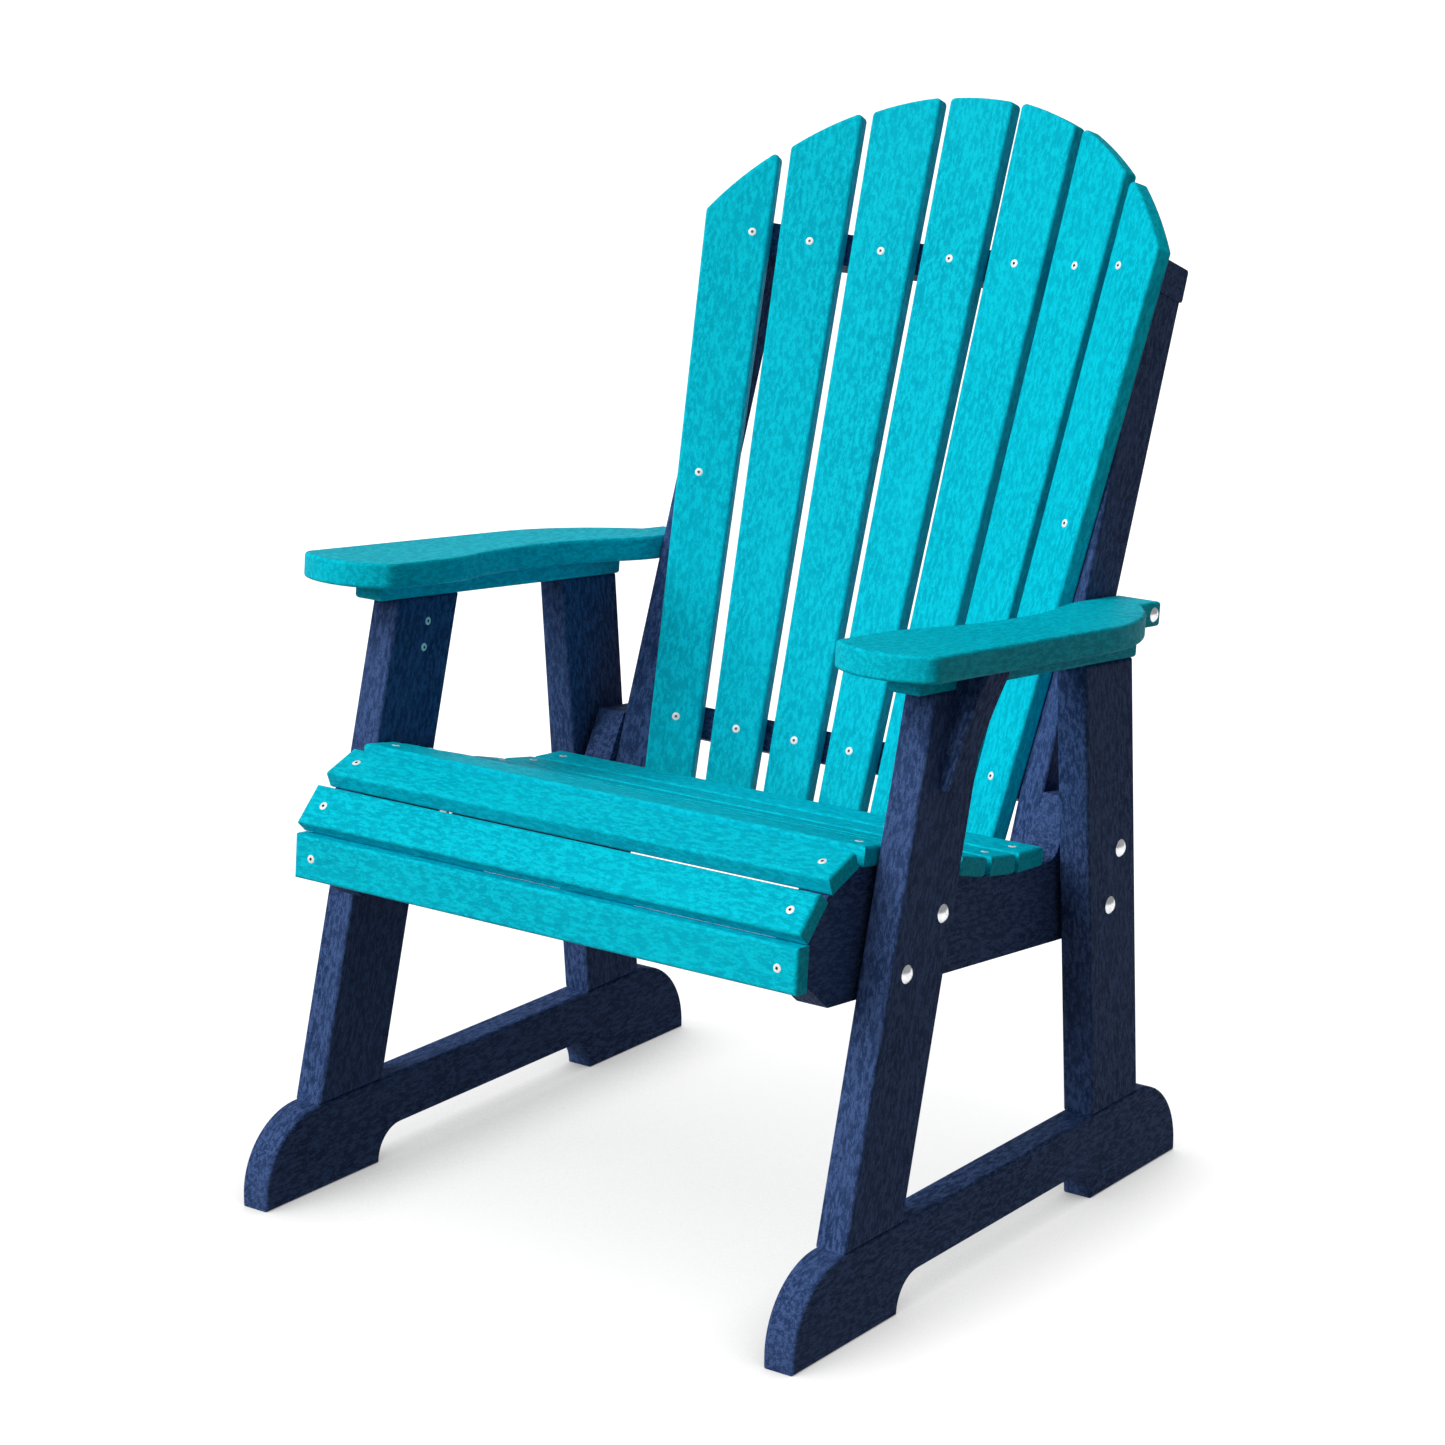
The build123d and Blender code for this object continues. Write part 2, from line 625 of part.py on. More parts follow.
def make_boards():
    boards = {}
    room = sitter_side()
    makers = {
        "skid": skid(),
        "front_leg": leg(FRONT_LEG),
        "rear_leg": leg(REAR_LEG),
        "arm_support": arm_support(),
        "armrest": armrest(),
        "arm_bracket": arm_bracket(),
        "seat_rail": seat_rail(),
        "back_upright": upright(room),
    }
    for name, board in makers.items():
        for side, sign in SIDES:
            boards[f"{name}_{side}"] = on_side(board, sign)
    boards["top_back_rail"] = bowed_rail(TOP_ROW, UPRIGHT_OUT + TOP_RAIL_PROUD, TOP_RAIL_BOW, room)
    boards["lower_back_rail"] = bowed_rail(BOTTOM_ROW, UPRIGHT_IN, LOW_RAIL_BOW, room)
    boards["seat_apron"] = seat_board(0)
    for index in range(1, len(SEAT_BOARDS)):
        boards[f"seat_slat_{index}"] = seat_board(index)
    for number in range(1, 8):
        boards[f"back_slat_{number}"] = back_slat(number)
    return boards


def write(name, shapes):
    solids = [solid for shape in shapes for solid in shape.solids()]
    centred = Compound(children=[Pos(0, -CENTRE_Y, 0) * solid for solid in solids])
    export_step(centred, f"parts/{name}.step")
    print(name, "solids", len(solids))
    return centred


def main():
    os.makedirs("parts", exist_ok=True)
    fasteners = make_fasteners()
    rods = []
    for name, group in fasteners.items():
        if name.endswith(("screws", "bolts")):
            rods += group
    written = [write(name, group) for name, group in fasteners.items()]
    for name, board in make_boards().items():
        if name.startswith("skid"):
            board = drilled(board, skid_bores())
        written.append(write(name, [drilled(board, rods)]))
    whole = Compound(children=written).bounding_box()
    print("low corner", whole.min, "high corner", whole.max)


main()
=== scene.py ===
# %% [markdown]
# # A garden chair in two colours of plastic lumber
# The chair is built from sawn and routed boards of recycled polyethylene. Navy boards make
# the frame, turquoise boards make the seat, the back, the arms and the front apron, and
# white-coated screws and steel carriage bolts hold it together.
# This lesson loads the finished model, gives every board its own piece of the material,
# makes the screws with Geometry Nodes, and sets up the floor, the lights and the camera.

import math

import bmesh
import bpy
import numpy as np
from mathutils import Matrix, Vector


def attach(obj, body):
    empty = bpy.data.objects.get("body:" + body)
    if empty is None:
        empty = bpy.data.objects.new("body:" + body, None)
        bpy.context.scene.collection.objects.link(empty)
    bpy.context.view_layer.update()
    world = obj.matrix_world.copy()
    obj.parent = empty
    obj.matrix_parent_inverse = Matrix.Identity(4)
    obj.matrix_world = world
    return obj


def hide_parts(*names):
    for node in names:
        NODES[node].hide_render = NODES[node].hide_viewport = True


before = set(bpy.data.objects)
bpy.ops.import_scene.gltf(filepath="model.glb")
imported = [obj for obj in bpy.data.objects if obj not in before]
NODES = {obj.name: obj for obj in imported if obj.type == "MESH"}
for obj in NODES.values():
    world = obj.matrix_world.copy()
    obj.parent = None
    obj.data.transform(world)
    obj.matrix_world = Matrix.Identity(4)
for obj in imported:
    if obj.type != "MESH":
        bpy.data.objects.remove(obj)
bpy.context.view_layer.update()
MM = 0.001
print("parts loaded:", len(NODES))

# %% [markdown]
# ## Three small helpers
# A material is a tree of nodes. The first helper fills one socket: with another node, with
# one of a node's outputs or with a plain value. A node given by itself stands for its first
# output that is in use.
# The second helper adds any node. It takes the node's type, what goes into its sockets and
# its settings, so a whole tree reads like a recipe. Some nodes hold several sockets with
# the same name, one for each type of data, and the helper picks the one that is in use.
# Colours are easiest to choose as the hex values of a paint chart, but the renderer adds
# up light, so the third helper turns them into linear numbers, by the sRGB formula.


# %% A helper that fills a socket
def fill(tree, socket, value):
    if isinstance(value, bpy.types.Node):
        value = next(output for output in value.outputs if output.enabled)
    if isinstance(value, bpy.types.NodeSocket):
        tree.links.new(value, socket)
    else:
        socket.default_value = value


# %% A helper that adds a node
def add_node(tree, kind, inputs=None, **settings):
    node = tree.nodes.new(kind)
    for name, value in settings.items():
        setattr(node, name, value)
    for key, value in (inputs or {}).items():
        in_use = [socket for socket in node.inputs if socket.enabled and socket.name == key]
        fill(tree, in_use[0] if in_use else node.inputs[key], value)
    return node


# %% A helper that reads a paint-chart colour
def linear(hex_colour):
    channels = [int(hex_colour[i : i + 2], 16) / 255 for i in (1, 3, 5)]
    bright = [c / 12.92 if c <= 0.04045 else ((c + 0.055) / 1.055) ** 2.4 for c in channels]
    return (*bright, 1.0)


print("turquoise in linear light:", [round(c, 3) for c in linear("#06cfe3")])

# %% [markdown]
# ## Which way does each board run?
# Plastic lumber is pushed through a die, so its streaks run along the board. On a fan-shaped
# back every slat points its own way, and one pattern laid over the whole chair would cut
# across them. The long direction of each board is found from its corner points: it is
# the direction in which they are spread the most. Each board's material is then turned
# to run that way.


# %% Find the long direction of a board
def board_points(board):
    flat = np.empty(len(board.data.vertices) * 3)
    board.data.vertices.foreach_get("co", flat)
    return flat.reshape(-1, 3)


def long_direction(board):
    points = board_points(board)
    points = np.unique(np.round(points, 4), axis=0)
    spread = np.linalg.eigh(np.cov((points - points.mean(axis=0)).T))
    direction = Vector(spread[1][:, 2])
    return direction if direction.dot(Vector((1, 1, 1))) > 0 else -direction


print("back slat 1 runs along", [round(c, 3) for c in long_direction(NODES["back_slat_1"])])

# %% [markdown]
# ## Turquoise and navy lumber
# The boards are high-density polyethylene, coloured right through and extruded. The skin
# comes out of the die with a soft satin face: fine mottling a few millimetres across, thin
# dark veins that wander along the board where the melt dragged, and a gentle drift in
# colour from end to end. The navy boards show stronger, darker flecks, like a coarse grain.
# Four noises make this. The mottled patches are a noise pulled out to two or three times
# its width. The veins are a longer noise of which only the narrow band round its middle
# value is coloured, so they come out as thin lines that fork and fade. The grain is a very
# fine noise over both, and the drift is a very large one. The patches feed the roughness
# too, and patches and grain together make the bump, so that what looks like a dark fleck
# is also a shallow dent.

# %% The four noises, with their sizes in millimetres
PATCHES = {"length": 12.0, "width": 4.5, "detail": 5.0, "roughness": 0.72}
VEINS = {"length": 42.0, "width": 9.0, "detail": 4.0, "roughness": 0.62}
GRAIN = {"length": 3.0, "width": 1.5, "detail": 2.0, "roughness": 0.60}
DRIFT = {"length": 180.0, "width": 60.0, "detail": 2.0, "roughness": 0.50}
print("patches per metre across the board:", round(1 / (PATCHES["width"] * MM)))

# %% The two colours
TURQUOISE = {
    "light": "#06cfe3",
    "dark": "#01adc5",
    "vein": "#0198b0",
    "veins": 0.55,
    "grain": 0.45,
    "roughness": 0.52,
}
NAVY = {
    "light": "#475f8f",
    "dark": "#263a62",
    "vein": "#13203f",
    "veins": 0.75,
    "grain": 0.55,
    "roughness": 0.50,
}
print("veins show at", TURQUOISE["veins"], "in turquoise and", NAVY["veins"], "in navy")

# %% [markdown]
# ### Where each noise starts to colour
# A noise is a smooth value between 0 and 1, mostly near 0.5. Each pair below says at which
# value its colour is off and at which it is fully on: a narrow pair gives crisp flecks, a
# wide pair a soft drift. The single numbers say how strongly the drift pulls back to the
# light colour, and how far the roughness moves down on smooth patches and up on dull ones.
# The dents are a quarter of a millimetre deep, and the grain adds half as much again.

# %% The edges of the pattern
PATCH_EDGE = (0.54, 0.45)
VEIN_EDGE = (0.022, 0.004)
GRAIN_EDGE = (0.52, 0.36)
DRIFT_EDGE = (0.35, 0.65)
DRIFT_PULL = 0.25
SATIN_EDGE = (0.6, 0.4)
SMOOTHER = 0.07
DULLER = 0.09
DENT_DEPTH = 0.25
DENT_STRENGTH = 0.6
GRAIN_RELIEF = 0.5
print("a vein takes up", 2 * VEIN_EDGE[0], "of the range of its noise")


# %% A noise squeezed to a real size
def stretched_noise(tree, place, length, width, detail, roughness):
    squeeze = (1 / (length * MM), 1 / (width * MM), 1 / (width * MM))
    spot = add_node(tree, "ShaderNodeVectorMath", {0: place, 1: squeeze}, operation="MULTIPLY")
    sockets = {"Vector": spot, "Scale": 1.0, "Detail": detail, "Roughness": roughness}
    return add_node(tree, "ShaderNodeTexNoise", sockets)


# %% [markdown]
# ### One board's material
# Extruded polyethylene refracts light at 1.54, but its skin is so finely uneven that it
# scatters nearly all of what it would mirror. To the eye it is a matte, waxy plastic whose
# highlights are broad and weak, so most of the mirror part is turned down.

# %% The lumber
LUMBER_IOR = 1.54
LUMBER_SHINE = 0.012
BOARD_AXIS = Vector((1, 0, 0))


def lumber(name, palette, direction, shift):
    material = bpy.data.materials.new(name)
    material.use_nodes = True
    tree = material.node_tree
    shader = tree.nodes["Principled BSDF"]
    place = add_node(tree, "ShaderNodeTexCoord").outputs["Object"]
    turn = direction.rotation_difference(BOARD_AXIS).to_euler()
    laid = add_node(tree, "ShaderNodeMapping", {"Vector": place, "Location": shift, "Rotation": turn})

    # The four noises.
    patches = stretched_noise(tree, laid, **PATCHES)
    veins = stretched_noise(tree, laid, **VEINS)
    grain = stretched_noise(tree, laid, **GRAIN)
    drift = stretched_noise(tree, laid, **DRIFT)

    # How much of each colour shows.
    steps = {}
    off_centre = add_node(tree, "ShaderNodeMath", {0: veins, 1: 0.5}, operation="SUBTRACT")
    off_centre = add_node(tree, "ShaderNodeMath", {0: off_centre}, operation="ABSOLUTE")
    masks = {
        "patch": (patches, PATCH_EDGE, 1.0),
        "vein": (off_centre, VEIN_EDGE, palette["veins"]),
        "grain": (grain, GRAIN_EDGE, palette["grain"]),
        "drift": (drift, DRIFT_EDGE, DRIFT_PULL),
    }
    for step, (noise, (off, on), most) in masks.items():
        steps[step] = add_node(
            tree, "ShaderNodeMapRange",
            {"Value": noise, "From Min": off, "From Max": on, "To Max": most}, clamp=True,
        )

    # The colours, laid over each other.
    light, dark, vein = (linear(palette[tone]) for tone in ("light", "dark", "vein"))
    colour = light
    for step, tone in (("patch", dark), ("vein", vein), ("grain", dark), ("drift", light)):
        colour = add_node(
            tree, "ShaderNodeMix", {"Factor": steps[step], "A": colour, "B": tone}, data_type="RGBA"
        )
    fill(tree, shader.inputs["Base Color"], colour)

    # Smooth patches are a little shinier than dull ones.
    smooth, dull = palette["roughness"] - SMOOTHER, palette["roughness"] + DULLER
    satin = add_node(
        tree, "ShaderNodeMapRange",
        {"Value": patches, "From Min": SATIN_EDGE[0], "From Max": SATIN_EDGE[1],
         "To Min": smooth, "To Max": dull},
        clamp=True,
    )
    fill(tree, shader.inputs["Roughness"], satin)

    # Dark flecks are shallow dents.
    relief = add_node(
        tree, "ShaderNodeMath", {0: grain, 1: GRAIN_RELIEF, 2: patches}, operation="MULTIPLY_ADD"
    )
    bump = add_node(
        tree, "ShaderNodeBump",
        {"Strength": DENT_STRENGTH, "Distance": DENT_DEPTH * MM, "Height": relief},
    )
    fill(tree, shader.inputs["Normal"], bump)
    fill(tree, shader.inputs["IOR"], LUMBER_IOR)
    fill(tree, shader.inputs["Specular IOR Level"], LUMBER_SHINE)
    return material


print("a patch is", round(PATCHES["length"] / PATCHES["width"], 1), "times as long as it is wide")

# %% [markdown]
# ## Cut every board from a different length of stock
# If two neighbouring slats showed the same streaks, the eye would find the repeat at once.
# Each board therefore gets a copy of the recipe that is moved to a new place in the noise,
# by steps that never line up, just as a workshop cuts its boards from different lengths.

# %% Give each board its lumber
STEP_ALONG = 1.37
STEP_ACROSS = 0.73
SLOT_PALETTES = {"turquoise_board": TURQUOISE, "navy_board": NAVY}

boards = sorted(
    name for name, node in NODES.items() if node.material_slots[0].name in SLOT_PALETTES
)
for count, name in enumerate(boards):
    board = NODES[name]
    slot_name = board.material_slots[0].name
    shift = (count * STEP_ALONG, count * STEP_ACROSS, 0.0)
    board.material_slots[0].material = lumber(
        f"extruded_polyethylene_{slot_name.split('_')[0]}_{name}",
        SLOT_PALETTES[slot_name], long_direction(board), shift,
    )
print("boards given their own lumber:", len(boards))

# %% [markdown]
# ## One recipe for the fasteners' three materials
# The fasteners show three surfaces: tumbled steel, a baked coating, and a painted shade: a
# dark grey steel put in each screw's recess, where the hollow falls into shadow. All three
# are made of the same two things. A cloudy noise moves both the colour and the roughness a
# little, because handled metal is never even. A finer noise lifts the surface by a few
# hundredths of a millimetre; where none is given, the clouds do it. Only the numbers differ,
# so one function takes them. Sizes are in millimetres.


# %% A fastener's material
CLOUD_START = 0.35
SATIN_SPAN = (0.3, 0.7)
CLOUD_DETAIL = 3.0
MARK_DETAIL = 2.0
MARK_ROUGHNESS = 0.5


def fastener_material(name, tones, clouds, roughness, relief, metallic):
    material = bpy.data.materials.new(name)
    material.use_nodes = True
    tree = material.node_tree
    shader = tree.nodes["Principled BSDF"]
    place = add_node(tree, "ShaderNodeTexCoord").outputs["Object"]
    size = clouds["size"]
    cloud = stretched_noise(tree, place, size, size, CLOUD_DETAIL, clouds["roughness"])
    tint = add_node(
        tree, "ShaderNodeMapRange",
        {"Value": cloud, "From Min": CLOUD_START, "From Max": clouds["end"]}, clamp=True,
    )
    colour = add_node(
        tree, "ShaderNodeMix",
        {"Factor": tint, "A": linear(tones[0]), "B": linear(tones[1])}, data_type="RGBA",
    )
    fill(tree, shader.inputs["Base Color"], colour)
    satin = add_node(
        tree, "ShaderNodeMapRange",
        {"Value": cloud, "From Min": SATIN_SPAN[0], "From Max": SATIN_SPAN[1],
         "To Min": roughness[0], "To Max": roughness[1]}, clamp=True,
    )
    fill(tree, shader.inputs["Roughness"], satin)
    marks = cloud
    if "length" in relief:
        long, wide = relief["length"], relief["width"]
        marks = stretched_noise(tree, place, long, wide, MARK_DETAIL, MARK_ROUGHNESS)
    bump = add_node(
        tree, "ShaderNodeBump",
        {"Strength": relief["strength"], "Distance": relief["depth"] * MM, "Height": marks},
    )
    fill(tree, shader.inputs["Normal"], bump)
    fill(tree, shader.inputs["Metallic"], metallic)
    return material


# %% [markdown]
# ### Steel for the carriage bolts
# The bolts that hold the legs, and the nuts, washers and spacers on them, are stainless
# steel. A cold-formed dome is smooth and bright, with very fine scratches from tumbling.
# A metal has no colour of its own under the shine, so its base colour is its reflection:
# a light grey, almost neutral, and the eye sees a soft bright spot that runs to grey.
# Real tumbling scratches are finer than a tenth of a millimetre. They are drawn half a
# millimetre wide and three long, because finer ones would not show.

# %% Steel
STEEL = fastener_material(
    "tumbled_stainless_steel",
    tones=("#d9dbdd", "#f0f1f2"),
    clouds={"size": 6.0, "roughness": 0.5, "end": 0.65},
    roughness=(0.24, 0.36),
    relief={"length": 3.0, "width": 0.5, "strength": 0.25, "depth": 0.03},
    metallic=1.0,
)
bolt_parts = sorted(n for n, node in NODES.items() if node.material_slots[0].name == "steel_bolt")
for name in bolt_parts:
    NODES[name].material_slots[0].material = STEEL
print("steel parts:", bolt_parts)

# %% [markdown]
# ### White coating for the screws
# The screws are steel with a baked white coating, which the eye sees as small white dots
# with a soft gleam. The coating is thick enough to round the edges and has a slight orange
# peel. Real peel has bumps a third of a millimetre across; they are drawn at nearly one.

# %% White coating
WHITE_COATING = fastener_material(
    "baked_white_coating_on_steel",
    tones=("#fbfcfc", "#e9edee"),
    clouds={"size": 4.0, "roughness": 0.6, "end": 0.70},
    roughness=(0.30, 0.42),
    relief={"length": 0.9, "width": 0.9, "strength": 0.3, "depth": 0.04},
    metallic=0.0,
)
print("coating made:", WHITE_COATING.name)

# %% [markdown]
# ### Painted shade in the recess
# The walls of the recess get a dull, dark grey steel: a painted shade that stands for the
# shadow in the hollow. That is the grey dot in the middle of every white head.
# That is the grey dot in the middle of every white head.

# %% Painted shade in the recess
RECESS_PAINTED_SHADE = fastener_material(
    "bare_steel_worn_by_the_driver",
    tones=("#5c554f", "#8b8178"),
    clouds={"size": 0.8, "roughness": 0.6, "end": 0.65},
    roughness=(0.45, 0.62),
    relief={"strength": 0.4, "depth": 0.05},
    metallic=1.0,
)
print("recess finish made:", RECESS_PAINTED_SHADE.name)

# %% [markdown]
# ## Where do the screws go?
# The model already holds a plain peg for each screw. A peg's points tell three things: the
# direction in which it is longest is the axis, its fat end is the head, and the furthest
# point at that end is the top of the head. Reading them from the model means that no
# place has to be typed in, and the screws follow if the chair changes.
# The pegs of one group come as loose triangles in one mesh. Once their doubled corners are
# merged, a peg is every point that can be reached from a first one along edges.

# %% Split a group of pegs into single pegs
SAME_POINT = 1e-6


def single_pegs(node):
    copied = bpy.data.meshes.new("pegs")
    copied.from_pydata(
        [tuple(p) for p in board_points(node)], [],
        [tuple(polygon.vertices) for polygon in node.data.polygons],
    )
    work = bmesh.new()
    work.from_mesh(copied)
    bmesh.ops.remove_doubles(work, verts=work.verts, dist=SAME_POINT)
    left = set(work.verts)
    pegs = []
    while left:
        start = min(left, key=lambda v: v.index)
        group, edge = {start}, [start]
        while edge:
            for link in edge.pop().link_edges:
                for vertex in link.verts:
                    if vertex not in group:
                        group.add(vertex)
                        edge.append(vertex)
        left -= group
        pegs.append(np.array([v.co[:] for v in sorted(group, key=lambda v: v.index)]))
    work.free()
    bpy.data.meshes.remove(copied)
    return pegs


print("seat screws found:", len(single_pegs(NODES["seat_screws"])))

# %% Measure a peg
NEARLY_WIDEST = 0.9


def measure_peg(points):
    middle = points.mean(axis=0)
    axis = np.linalg.eigh(np.cov((points - middle).T))[1][:, 2]
    along = (points - middle) @ axis
    aside = np.linalg.norm(points - middle - np.outer(along, axis), axis=1)
    if along[np.argmax(aside)] < (along.min() + along.max()) / 2:
        axis, along = -axis, -along
    wide = points[aside > NEARLY_WIDEST * aside.max()]
    centre = wide.mean(axis=0)
    top = centre + axis * ((points - centre) @ axis).max()
    return {"top": top, "axis": axis, "length": along.max() - along.min(), "radius": aside.max()}


sample = measure_peg(single_pegs(NODES["seat_screws"])[0])
print("a seat screw is", round(sample["length"] / MM, 1), "mm long")
print("the radius of its head is", round(sample["radius"] / MM, 2), "mm")

# %% [markdown]
# ## One screw, made by nodes
# A wood screw is a low domed head with a six-lobed recess, a threaded shank and a point.
# The finished screw is put on every point of a small mesh of places, turned to the
# direction stored there, and spun by a random amount, because nobody lines up the recesses
# when driving screws. The tree's sizes are named inputs, so one tree serves every group.


# %% The tree's named inputs
def screw_inputs(tree):
    sizes = ["Head radius", "Head height", "Dome", "Recess width", "Recess depth",
             "Shank radius", "Length", "Thread pitch"]
    kinds = {"Geometry": "NodeSocketGeometry"}
    kinds.update({name: "NodeSocketFloat" for name in sizes})
    kinds["Seed"] = "NodeSocketInt"
    kinds["Finish"] = "NodeSocketMaterial"
    # The recess gets a painted shade, a dark grey that stands for the shadow in the hollow.
    kinds["Recess finish"] = "NodeSocketMaterial"
    for name, kind in kinds.items():
        tree.interface.new_socket(name, in_out="INPUT", socket_type=kind)
    tree.interface.new_socket("Geometry", in_out="OUTPUT", socket_type="NodeSocketGeometry")
    return tree.nodes.new("NodeGroupInput").outputs, tree.nodes.new("NodeGroupOutput")


# %% [markdown]
# ### The head
# The head starts as a disc made of rings. Each point of its upper face is lowered by the
# cube of its distance from the middle, so the top is nearly flat in the middle and falls
# away at the rim, like a real washer head. It then moves down to have its top at zero.

# %% The head
HEAD_SIDES = 40
HEAD_RINGS = 6
DOME_CURVE = 3.0
JUST_ABOVE = 0.01 * MM


def screw_head(tree, given):
    disc = add_node(
        tree, "GeometryNodeMeshCylinder",
        {"Vertices": HEAD_SIDES, "Side Segments": 2, "Fill Segments": HEAD_RINGS,
         "Radius": given["Head radius"], "Depth": given["Head height"]},
    )
    where = add_node(tree, "GeometryNodeInputPosition")
    axes = add_node(tree, "ShaderNodeSeparateXYZ", {0: where}).outputs
    across = add_node(tree, "ShaderNodeCombineXYZ", {0: axes["X"], 1: axes["Y"]})
    distance = add_node(tree, "ShaderNodeVectorMath", {0: across}, operation="LENGTH")
    share = add_node(
        tree, "ShaderNodeMath", {0: distance, 1: given["Head radius"]}, operation="DIVIDE"
    )
    curve = add_node(tree, "ShaderNodeMath", {0: share, 1: DOME_CURVE}, operation="POWER")
    fall = add_node(tree, "ShaderNodeMath", {0: curve, 1: given["Dome"]}, operation="MULTIPLY")
    down = add_node(tree, "ShaderNodeMath", {0: fall, 1: -1.0}, operation="MULTIPLY")
    on_top = add_node(
        tree, "ShaderNodeMath", {0: axes["Z"], 1: JUST_ABOVE}, operation="GREATER_THAN"
    )
    domed = add_node(
        tree, "GeometryNodeSetPosition",
        {"Geometry": disc, "Selection": on_top,
         "Offset": add_node(tree, "ShaderNodeCombineXYZ", {2: down})},
    )
    half = add_node(
        tree, "ShaderNodeMath", {0: given["Head height"], 1: -0.5}, operation="MULTIPLY"
    )
    return add_node(
        tree, "GeometryNodeTransform",
        {"Geometry": domed, "Translation": add_node(tree, "ShaderNodeCombineXYZ", {2: half})},
    )


print("the head has", HEAD_SIDES, "sides and", HEAD_RINGS, "rings")

# %% [markdown]
# ### The recess
# The recess is a small round plug whose outline is pushed in and out by a cosine of the
# angle, which gives six lobes. It is twice as deep as the recess, because it stands half
# out of the head, and it is cut out of the head later.

# %% The recess
LOBES = 6
LOBE_SIDES = 48
LOBE_DEEP = 0.13


def recess_plug(tree, given):
    wide = add_node(
        tree, "ShaderNodeMath", {0: given["Recess width"], 1: 0.5}, operation="MULTIPLY"
    )
    deep = add_node(
        tree, "ShaderNodeMath", {0: given["Recess depth"], 1: 2.0}, operation="MULTIPLY"
    )
    plug = add_node(
        tree, "GeometryNodeMeshCylinder", {"Vertices": LOBE_SIDES, "Radius": wide, "Depth": deep}
    )
    where = add_node(tree, "GeometryNodeInputPosition")
    axes = add_node(tree, "ShaderNodeSeparateXYZ", {0: where}).outputs
    angle = add_node(tree, "ShaderNodeMath", {0: axes["Y"], 1: axes["X"]}, operation="ARCTAN2")
    turns = add_node(tree, "ShaderNodeMath", {0: angle, 1: float(LOBES)}, operation="MULTIPLY")
    wave = add_node(tree, "ShaderNodeMath", {0: turns}, operation="COSINE")
    factor = add_node(
        tree, "ShaderNodeMath", {0: wave, 1: LOBE_DEEP, 2: 1.0 - LOBE_DEEP}, operation="MULTIPLY_ADD"
    )
    scale = add_node(tree, "ShaderNodeCombineXYZ", {0: factor, 1: factor, 2: 1.0})
    lobed = add_node(tree, "ShaderNodeVectorMath", {0: where, 1: scale}, operation="MULTIPLY")
    return add_node(tree, "GeometryNodeSetPosition", {"Geometry": plug, "Position": lobed})


print("the recess has", LOBES, "lobes")

# %% [markdown]
# ### The threaded shank
# The thread is a tube made of many rings whose radius goes in and out along its length.
# Close to the tip the radius shrinks to a point.

# %% The threaded shank
SHANK_SIDES = 12
THREAD_RINGS = 44
THREAD_DEEP = 0.16
POINT_LENGTH = 3.0  # in radii of the shank
POINT_BLUNT = 0.08


def screw_shank(tree, given):
    length = add_node(
        tree, "ShaderNodeMath", {0: given["Length"], 1: given["Head height"]}, operation="SUBTRACT"
    )
    tube = add_node(
        tree, "GeometryNodeMeshCylinder",
        {"Vertices": SHANK_SIDES, "Side Segments": THREAD_RINGS,
         "Radius": given["Shank radius"], "Depth": length},
    )
    where = add_node(tree, "GeometryNodeInputPosition")
    height = add_node(tree, "ShaderNodeSeparateXYZ", {0: where}).outputs["Z"]
    turns = add_node(
        tree, "ShaderNodeMath", {0: height, 1: given["Thread pitch"]}, operation="DIVIDE"
    )
    turns = add_node(tree, "ShaderNodeMath", {0: turns, 1: math.tau}, operation="MULTIPLY")
    wave = add_node(tree, "ShaderNodeMath", {0: turns}, operation="COSINE")
    ridge = add_node(
        tree, "ShaderNodeMath", {0: wave, 1: THREAD_DEEP, 2: 1 - THREAD_DEEP},
        operation="MULTIPLY_ADD",
    )
    low_end = add_node(tree, "ShaderNodeMath", {0: length, 1: -0.5}, operation="MULTIPLY")
    rise = add_node(tree, "ShaderNodeMath", {0: height, 1: low_end}, operation="SUBTRACT")
    point = add_node(
        tree, "ShaderNodeMath", {0: given["Shank radius"], 1: POINT_LENGTH}, operation="MULTIPLY"
    )
    tip = add_node(tree, "ShaderNodeMath", {0: rise, 1: point}, operation="DIVIDE")
    taper = add_node(tree, "ShaderNodeClamp", {"Value": tip, "Min": POINT_BLUNT, "Max": 1.0})
    factor = add_node(tree, "ShaderNodeMath", {0: ridge, 1: taper}, operation="MULTIPLY")
    scale = add_node(tree, "ShaderNodeCombineXYZ", {0: factor, 1: factor, 2: 1.0})
    shaped = add_node(tree, "ShaderNodeVectorMath", {0: where, 1: scale}, operation="MULTIPLY")
    threaded = add_node(tree, "GeometryNodeSetPosition", {"Geometry": tube, "Position": shaped})
    drop = add_node(
        tree, "ShaderNodeMath", {0: low_end, 1: given["Head height"]}, operation="SUBTRACT"
    )
    return add_node(
        tree, "GeometryNodeTransform",
        {"Geometry": threaded, "Translation": add_node(tree, "ShaderNodeCombineXYZ", {2: drop})},
    )


print("the thread has", THREAD_RINGS, "rings of", SHANK_SIDES, "sides")

# %% [markdown]
# ### Put it together
# The plug is cut out of the head, and the faces that this leaves below the skin, close to
# the axis, are marked for the painted shade of the recess. Realize Instances then makes
# the copies real, and Set Material gives them the coating and the painted recess shade.

# %% Cut the head and mark the recess
RECESS_REACH = 0.51  # of the recess's width
RECESS_SKIN = -0.3  # of the recess's depth


